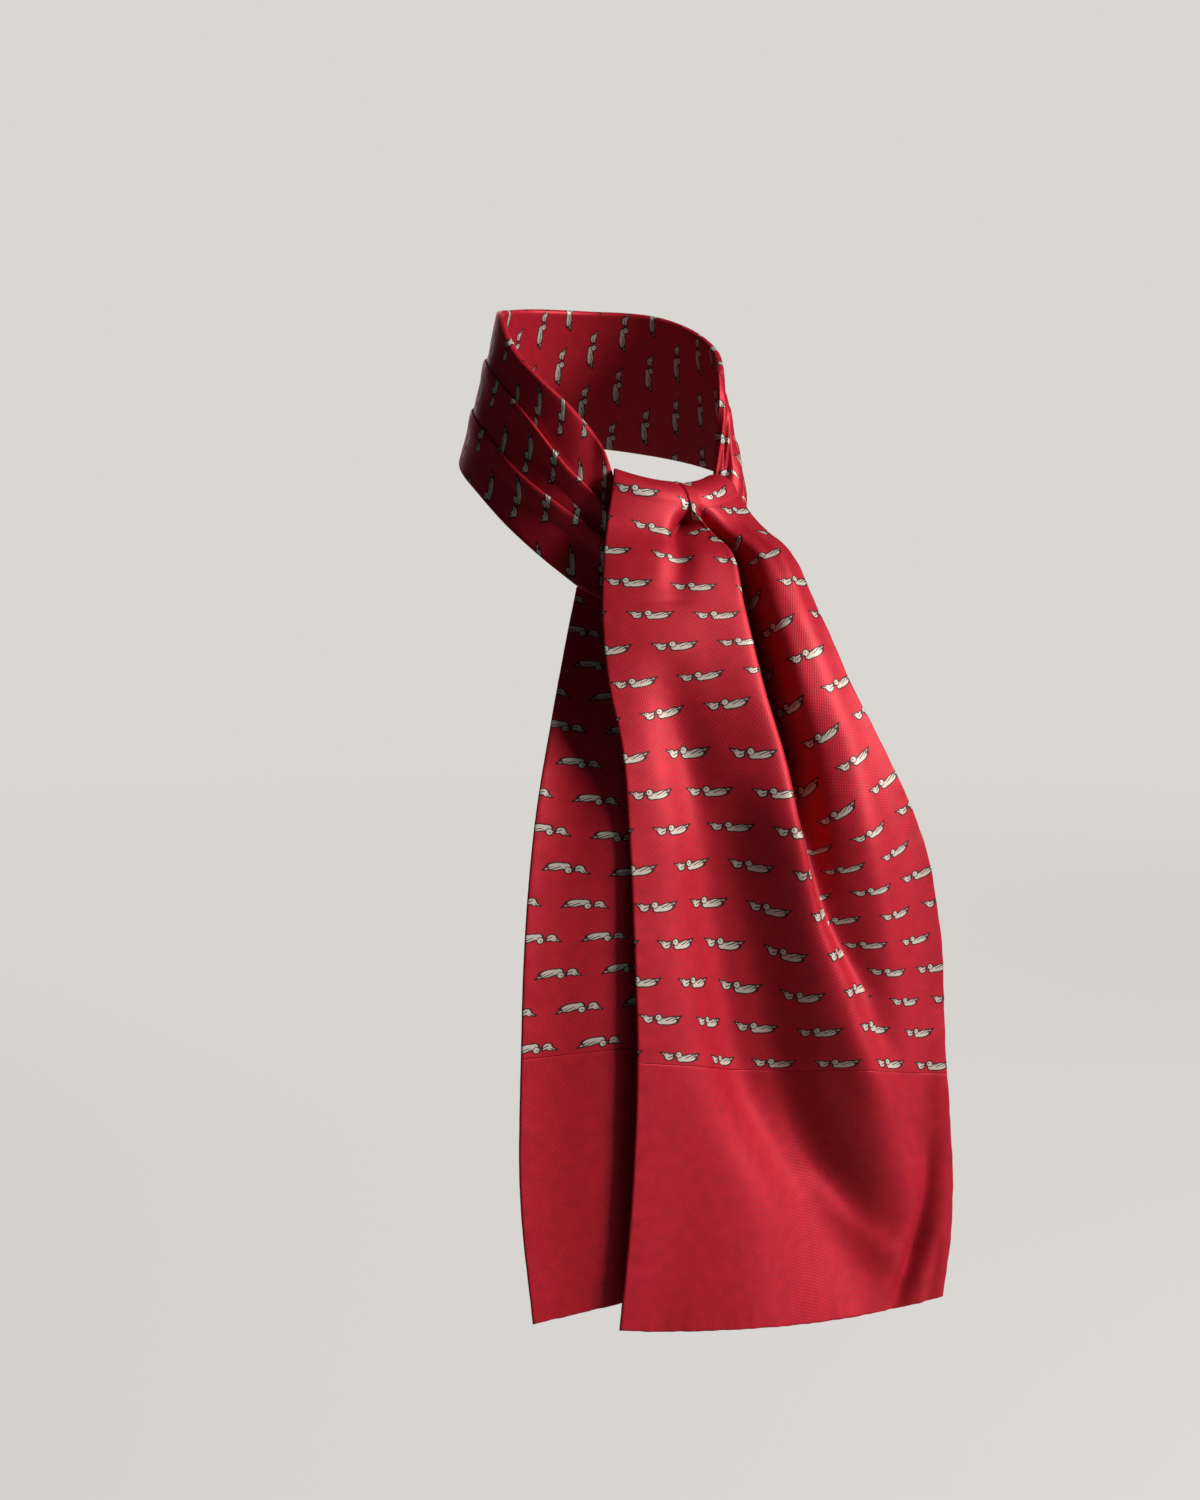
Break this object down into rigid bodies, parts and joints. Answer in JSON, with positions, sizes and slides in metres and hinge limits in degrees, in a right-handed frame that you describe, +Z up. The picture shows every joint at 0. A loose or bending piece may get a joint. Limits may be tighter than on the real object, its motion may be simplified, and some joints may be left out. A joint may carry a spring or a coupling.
{
  "type": "worn silk cravat",
  "caption": "Printed silk cravat tied once at the throat: pleated neck band, wide front blade with a lapped fold, under blade behind it, plain end panels.",
  "frame": {"origin": "middle of the neck opening at the height of the throat, where the wearer's neck holds the cravat", "axes": "+Z up along the wearer's body, -Y to the wearer's front, +X to the wearer's left"},
  "size_m": [0.2453, 0.2264, 0.5302],
  "materials": {
    "neck_band_silk": "satin sheen, printed twill",
    "left_stretch_silk": "satin sheen, printed twill",
    "crossing_silk": "satin sheen, printed twill",
    "front_blade_silk": "satin sheen, printed twill",
    "front_tip_silk": "satin sheen, plain twill",
    "under_blade_silk": "satin sheen, printed twill",
    "under_tip_silk": "satin sheen, plain twill"
  },
  "bodies": {
    "root": {"neck_band": "neck_band_silk", "left_stretch": "left_stretch_silk", "crossing": "crossing_silk", "front_blade": "front_blade_silk", "front_tip": "front_tip_silk", "under_blade": "under_blade_silk", "under_tip": "under_tip_silk"}
  },
  "joints": []
}
